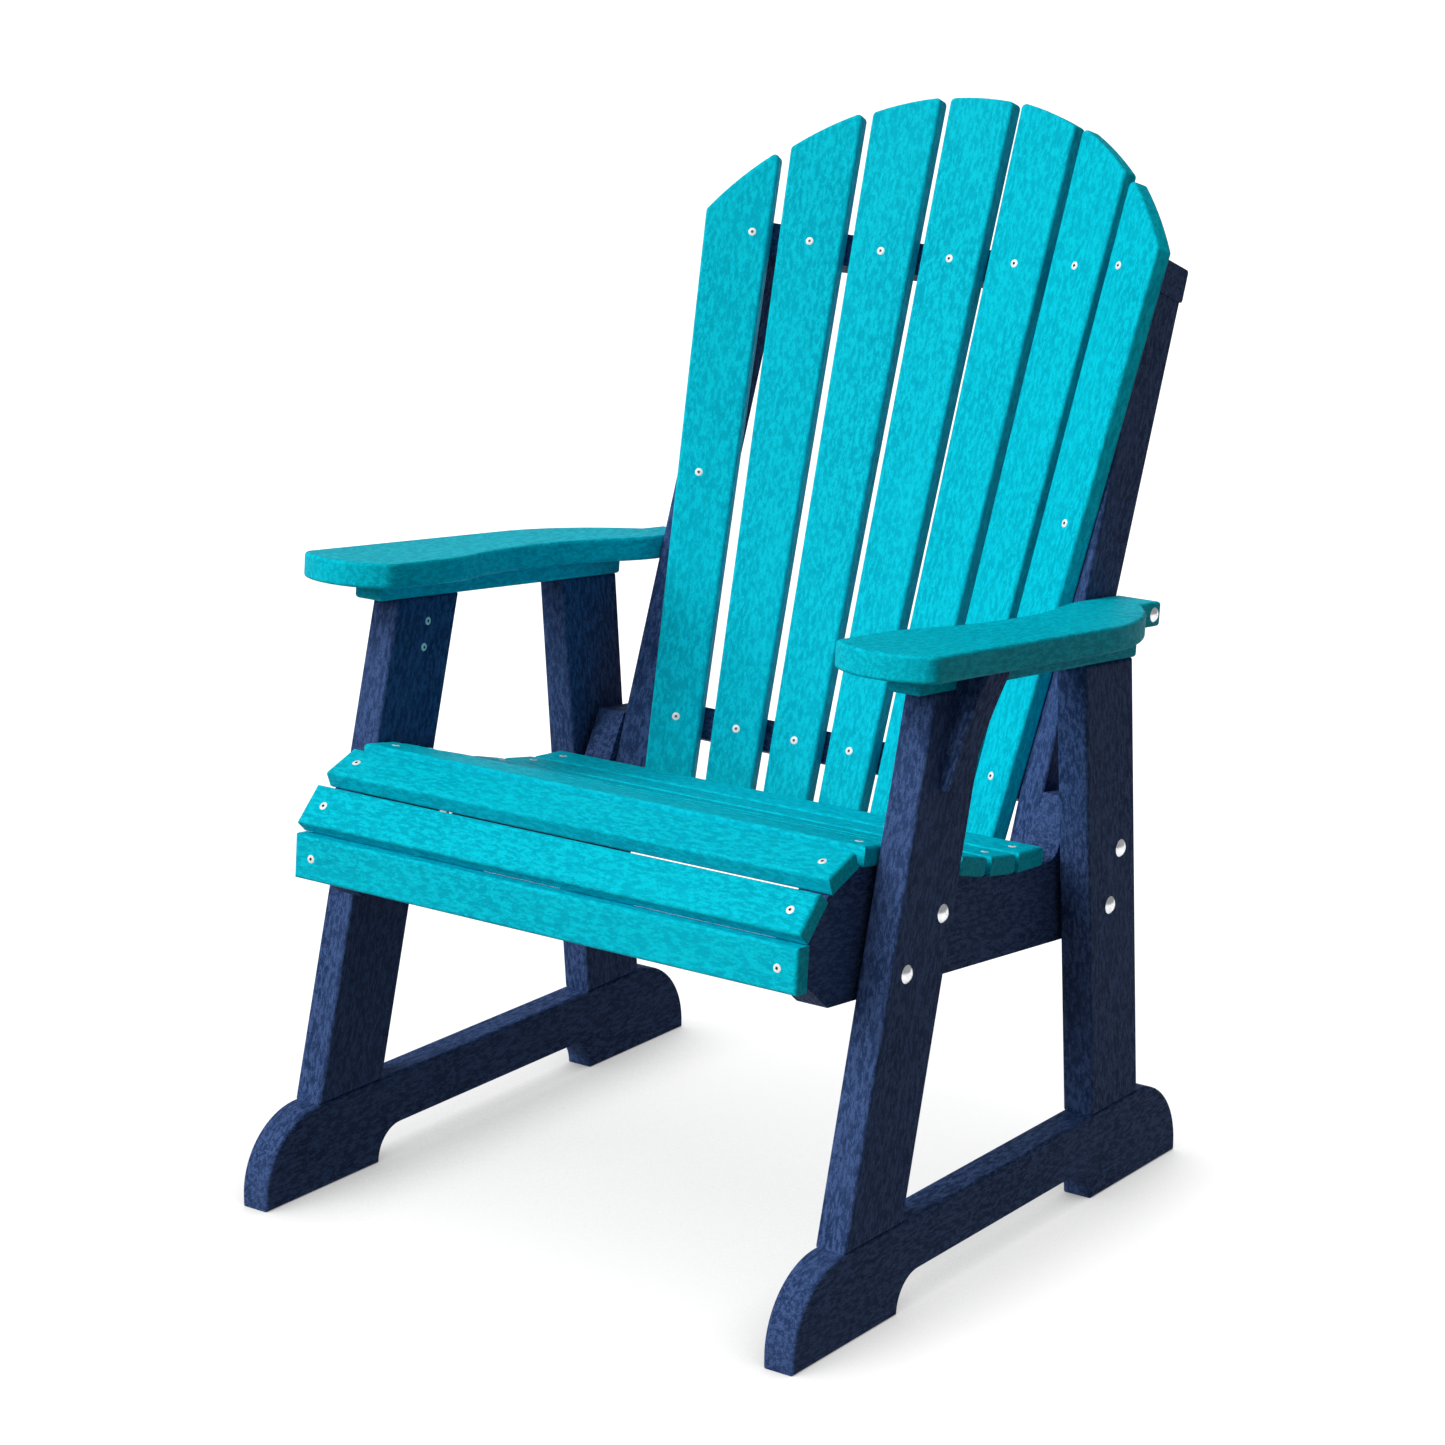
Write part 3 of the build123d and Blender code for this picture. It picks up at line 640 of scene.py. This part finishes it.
def recessed_head(tree, given):
    cut = add_node(
        tree, "GeometryNodeMeshBoolean", {0: screw_head(tree, given), 1: recess_plug(tree, given)},
        operation="DIFFERENCE", solver="EXACT",
    )
    where = add_node(tree, "GeometryNodeInputPosition")
    axes = add_node(tree, "ShaderNodeSeparateXYZ", {0: where}).outputs
    across = add_node(tree, "ShaderNodeCombineXYZ", {0: axes["X"], 1: axes["Y"]})
    away = add_node(tree, "ShaderNodeVectorMath", {0: across}, operation="LENGTH")
    reach = add_node(
        tree, "ShaderNodeMath", {0: given["Recess width"], 1: RECESS_REACH}, operation="MULTIPLY"
    )
    skin = add_node(
        tree, "ShaderNodeMath", {0: given["Recess depth"], 1: RECESS_SKIN}, operation="MULTIPLY"
    )
    near = add_node(tree, "ShaderNodeMath", {0: away, 1: reach}, operation="LESS_THAN")
    deep = add_node(tree, "ShaderNodeMath", {0: axes["Z"], 1: skin}, operation="LESS_THAN")
    both = add_node(tree, "ShaderNodeMath", {0: near, 1: deep}, operation="MULTIPLY")
    return add_node(
        tree, "GeometryNodeStoreNamedAttribute",
        {"Geometry": cut, "Name": "in_recess", "Value": both}, data_type="BOOLEAN", domain="FACE",
    )


# %% Turn and spin each copy
def driven_direction(tree, given):
    stored = add_node(
        tree, "GeometryNodeInputNamedAttribute", {"Name": "axis"}, data_type="FLOAT_VECTOR"
    )
    aimed = add_node(tree, "FunctionNodeAlignRotationToVector", {"Vector": stored}, axis="Z")
    chance = add_node(
        tree, "FunctionNodeRandomValue", {"Min": 0.0, "Max": math.tau, "Seed": given["Seed"]},
        data_type="FLOAT",
    )
    spin = add_node(tree, "FunctionNodeAxisAngleToRotation", {"Axis": (0, 0, 1), "Angle": chance})
    return add_node(
        tree, "FunctionNodeRotateRotation", {"Rotation": aimed, "Rotate By": spin},
        rotation_space="LOCAL",
    )


# %% The whole tree
def screw_tree():
    tree = bpy.data.node_groups.new("coated_screws", "GeometryNodeTree")
    given, result = screw_inputs(tree)
    whole = add_node(tree, "GeometryNodeJoinGeometry")
    for part in (recessed_head(tree, given), screw_shank(tree, given)):
        fill(tree, whole.inputs[0], part)
    copies = add_node(
        tree, "GeometryNodeInstanceOnPoints",
        {"Points": given["Geometry"], "Instance": whole, "Rotation": driven_direction(tree, given)},
    )
    real = add_node(tree, "GeometryNodeRealizeInstances", {"Geometry": copies})
    coated = add_node(
        tree, "GeometryNodeSetMaterial", {"Geometry": real, "Material": given["Finish"]}
    )
    # The marked recess faces get the painted shade for the shadow in the hollow.
    recess = add_node(
        tree, "GeometryNodeInputNamedAttribute", {"Name": "in_recess"}, data_type="BOOLEAN"
    )
    recess_shaded = add_node(
        tree, "GeometryNodeSetMaterial",
        {"Geometry": coated, "Selection": recess, "Material": given["Recess finish"]},
    )
    fill(tree, result.inputs[0], recess_shaded)
    return tree


SCREW_TREE = screw_tree()
print("nodes in the screw tree:", len(SCREW_TREE.nodes))

# %% [markdown]
# ## Drive the screws
# A modifier runs the tree on a mesh that has one point for each screw. The sizes go in by
# the identifiers of the sockets. The result is copied to a plain mesh, so the screws can
# be exported, and edges sharper than a set angle stay crisp while the dome is smooth.

# %% The sizes of a screw
HEAD_HEIGHT = 2.4 * MM
DOME = 0.55 * MM
RECESS_WIDTH = 3.9 * MM
RECESS_DEPTH = 1.9 * MM
SHANK_RADIUS = 2.4 * MM
THREAD_PITCH = 2.6 * MM
CRISP_ANGLE = math.radians(32)
print("a head falls by", round(DOME / MM, 2), "mm from its middle to its rim")


# %% Run the tree on a group's places
def screw_mesh(node_name, pegs, seed):
    places = bpy.data.meshes.new(f"{node_name}_places")
    places.from_pydata([tuple(peg["top"]) for peg in pegs], [], [])
    stored = places.attributes.new("axis", "FLOAT_VECTOR", "POINT")
    axes = np.array([peg["axis"] for peg in pegs], dtype=np.float32)
    stored.data.foreach_set("vector", axes.ravel())
    holder = bpy.data.objects.new(f"{node_name}_holder", places)
    bpy.context.scene.collection.objects.link(holder)
    modifier = holder.modifiers.new("screws", "NODES")
    modifier.node_group = SCREW_TREE
    values = {
        "Head radius": float(pegs[0]["radius"]), "Head height": HEAD_HEIGHT, "Dome": DOME,
        "Recess width": RECESS_WIDTH, "Recess depth": RECESS_DEPTH,
        "Shank radius": SHANK_RADIUS, "Length": float(pegs[0]["length"]),
        "Thread pitch": THREAD_PITCH,
        # The recess takes the painted shade, a dark grey for the shadow in the hollow.
        "Seed": seed, "Finish": WHITE_COATING, "Recess finish": RECESS_PAINTED_SHADE,
    }
    for item in SCREW_TREE.interface.items_tree:
        if item.in_out == "INPUT" and item.name in values:
            modifier[item.identifier] = values[item.name]
    bpy.context.view_layer.update()
    graph = bpy.context.evaluated_depsgraph_get()
    mesh = bpy.data.meshes.new_from_object(holder.evaluated_get(graph), depsgraph=graph)
    bpy.data.objects.remove(holder)
    return mesh


# %% Put a group's screws in the chair
def drive_screws(node_name, seed):
    pegs = [measure_peg(points) for points in single_pegs(NODES[node_name])]
    mesh = screw_mesh(node_name, pegs, seed)
    mesh.name = f"coated_{node_name}"
    mesh.shade_smooth()
    mesh.set_sharp_from_angle(angle=CRISP_ANGLE)
    piece = bpy.data.objects.new(f"coated_{node_name}", mesh)
    bpy.context.scene.collection.objects.link(piece)
    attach(piece, "root")
    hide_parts(node_name)
    print(piece.name, "screws:", len(pegs), "faces:", len(mesh.polygons))


screw_groups = sorted(n for n, node in NODES.items() if node.material_slots[0].name == "white_screw")
for seed, group in enumerate(screw_groups):
    drive_screws(group, seed)

# %% [markdown]
# ## The floor
# The chair stands in a white studio. The floor is one large smooth sheet that runs out of
# view, so it has no horizon. Most of its brightness is its own glow, and the glow is
# weaker where the chair covers the sky above a spot. That is measured twice: within most
# of a metre, for the pale shade under the seat, and within a hand's width, for the dark
# line at the skids. The sheet itself is a matte grey that catches the lamps' soft shadows.
# It is hidden from the bounced light, so it doesn't wash out the deep colours of the boards.

# %% Lay the floor
FLOOR_HALF = 60.0
SHEET_GREY = "#6a6a6a"
SHEET_ROUGHNESS = 0.9
WIDE_SHADE = {"reach": 0.80, "weight": 0.60}
TIGHT_SHADE = {"reach": 0.12, "weight": 0.42}
SHADE_SAMPLES = 6
FLOOR_GLOW = 0.11


def white_sheet():
    material = bpy.data.materials.new("white_studio_sheet")
    material.use_nodes = True
    tree = material.node_tree
    shader = tree.nodes["Principled BSDF"]
    fill(tree, shader.inputs["Base Color"], linear(SHEET_GREY))
    fill(tree, shader.inputs["Roughness"], SHEET_ROUGHNESS)
    fill(tree, shader.inputs["Specular IOR Level"], 0.0)
    glow = FLOOR_GLOW
    for shade in (WIDE_SHADE, TIGHT_SHADE):
        air = add_node(
            tree, "ShaderNodeAmbientOcclusion", {"Distance": shade["reach"]}, samples=SHADE_SAMPLES
        )
        glow = add_node(
            tree, "ShaderNodeMath", {0: air.outputs["AO"], 1: shade["weight"], 2: glow},
            operation="MULTIPLY_ADD",
        )
    fill(tree, shader.inputs["Emission Color"], (1, 1, 1, 1))
    fill(tree, shader.inputs["Emission Strength"], glow)
    return material


def studio_floor():
    mesh = bpy.data.meshes.new("studio_floor")
    corners = [(-1, -1), (1, -1), (1, 1), (-1, 1)]
    mesh.from_pydata([(x * FLOOR_HALF, y * FLOOR_HALF, 0.0) for x, y in corners], [], [(0, 1, 2, 3)])
    mesh.materials.append(white_sheet())
    floor = bpy.data.objects.new("studio_floor", mesh)
    bpy.context.scene.collection.objects.link(floor)
    floor.visible_diffuse = False


studio_floor()
print("floor is", 2 * FLOOR_HALF, "metres across")

# %% [markdown]
# ## The lamps
# A big soft lamp stands in front of the chair, high on the sitter's right. It makes the
# front faces bright and lets the sides that face away go deep. A weak one overhead lifts
# the tops, and a weaker soft lamp behind keeps the back readable. That one is kept out of
# reflections, because its gleam would turn the tops of the boards whitish.
# Sun lamps are used because their light is the same everywhere on the floor, and a wide
# sun angle gives the soft edge of a large lamp close by.

# %% Hang the lamps
LAMPS = {
    "front_lamp": {"towards": (-0.30, -0.76, 0.58), "strength": 2.8, "spread": 44, "mirrored": True},
    "top_lamp": {"towards": (0.0, -0.1, 1.0), "strength": 0.30, "spread": 80, "mirrored": True},
    "back_lamp": {"towards": (-0.60, 0.78, 0.18), "strength": 0.9, "spread": 50, "mirrored": False},
}


def soft_sun(name, towards, strength, spread, mirrored):
    lamp = bpy.data.lights.new(name, "SUN")
    lamp.energy = strength
    lamp.angle = math.radians(spread)
    holder = bpy.data.objects.new(name, lamp)
    holder.rotation_euler = Vector(towards).to_track_quat("Z", "Y").to_euler()
    holder.visible_glossy = mirrored
    bpy.context.scene.collection.objects.link(holder)


for name, lamp in LAMPS.items():
    soft_sun(name, **lamp)
print("lamps:", sorted(LAMPS))

# %% [markdown]
# ## The air of the studio
# The room itself is an even white, with a different strength for each kind of ray. What
# the camera sees past the floor is plain white. The light that fills the shadows is weak,
# so that they stay deep, and what the steel and the coating mirror is in between.

# %% Fill the room
SKY_BACKDROP = 1.0
SKY_FILL = 0.15
SKY_SHINE = 0.35
SKY_LEVELS = {
    "Is Camera Ray": SKY_BACKDROP,
    "Is Diffuse Ray": SKY_FILL,
    "Is Glossy Ray": SKY_SHINE,
}

world = bpy.data.worlds.new("studio_air")
bpy.context.scene.world = world
world.use_nodes = True
sky = world.node_tree
background = sky.nodes["Background"]
fill(sky, background.inputs["Color"], (1, 1, 1, 1))
rays = add_node(sky, "ShaderNodeLightPath").outputs
level = 0.0
for ray, share in SKY_LEVELS.items():
    level = add_node(sky, "ShaderNodeMath", {0: rays[ray], 1: share, 2: level}, operation="MULTIPLY_ADD")
fill(sky, background.inputs["Strength"], level)
print("strength of the room for each ray:", SKY_LEVELS)

# %% [markdown]
# ## The camera
# The chair is seen from its left front corner, a little above the arms, with a long lens
# from about four metres away, so the near and far boards keep nearly the same size.

# %% Set the camera
EYE = (2.30366, -3.20839, 1.56322)
TURN_RIGHT = 36.2766
LOOK_DOWN = 14.7732
ROLL = 0.0846
LENS = 90.42
SENSOR = 36.0
FAR_CLIP = 200.0

camera_data = bpy.data.cameras.new("studio_camera")
camera_data.lens = LENS
camera_data.sensor_width = SENSOR
camera_data.clip_end = FAR_CLIP
camera = bpy.data.objects.new("studio_camera", camera_data)
bpy.context.scene.collection.objects.link(camera)
aim = Matrix.Rotation(math.radians(TURN_RIGHT), 4, "Z")
aim = aim @ Matrix.Rotation(math.radians(90 - LOOK_DOWN), 4, "X")
aim = aim @ Matrix.Rotation(math.radians(ROLL), 4, "Z")
camera.matrix_world = Matrix.Translation(EYE) @ aim
bpy.context.scene.camera = camera
bpy.context.scene.view_settings.view_transform = "Standard"
print("camera is", round(Vector(EYE).length, 2), "metres from the middle of the floor")
